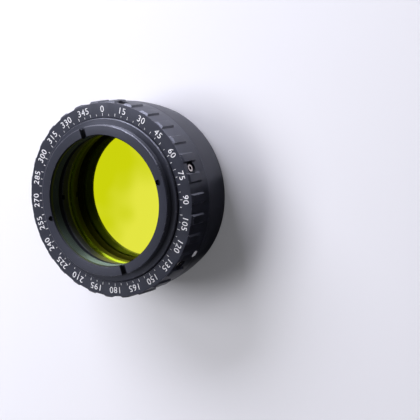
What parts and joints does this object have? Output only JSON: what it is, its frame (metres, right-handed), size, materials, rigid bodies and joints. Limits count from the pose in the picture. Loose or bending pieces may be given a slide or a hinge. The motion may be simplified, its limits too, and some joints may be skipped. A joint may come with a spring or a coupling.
{
  "type": "nebula filter in a camera adapter ring",
  "caption": "Round black adapter ring with a grip band that holds a coated nebula filter, threaded for a telescope in front and closed by a bayonet rear cap.",
  "frame": {"origin": "centre of the rear cap's rear face, on which the adapter stands", "axes": "+Z is the light path, from the camera towards the telescope; the key slots lie at 105 and 285 degrees from +X"},
  "size_m": [0.0626, 0.0626, 0.0272],
  "materials": {
    "anodised_black": "matte anodised",
    "filter_coating": "dichroic coated",
    "bayonet_steel": "fine turned",
    "screw_steel": "plain",
    "white_fill": "filled paint",
    "cap_plastic": "fine matte"
  },
  "bodies": {
    "adapter": {"adapter_body": "anodised_black", "insert_ring": "anodised_black", "filter_retainer": "anodised_black", "filter_glass": "filter_coating", "bayonet_ring": "bayonet_steel", "index_dot": "white_fill", "set_screw_1": "screw_steel", "set_screw_2": "screw_steel", "set_screw_3": "screw_steel", "set_screw_4": "screw_steel", "set_screw_5": "screw_steel", "set_screw_6": "screw_steel"},
    "cap": {"rear_cap": "cap_plastic"}
  },
  "joints": [
    {"name": "cap_turn", "type": "hinge", "parent": "adapter", "child": "cap", "pos_m": [0, 0, 0.0134], "axis": [0, 0, 1], "range_deg": [0, 60]}
  ]
}
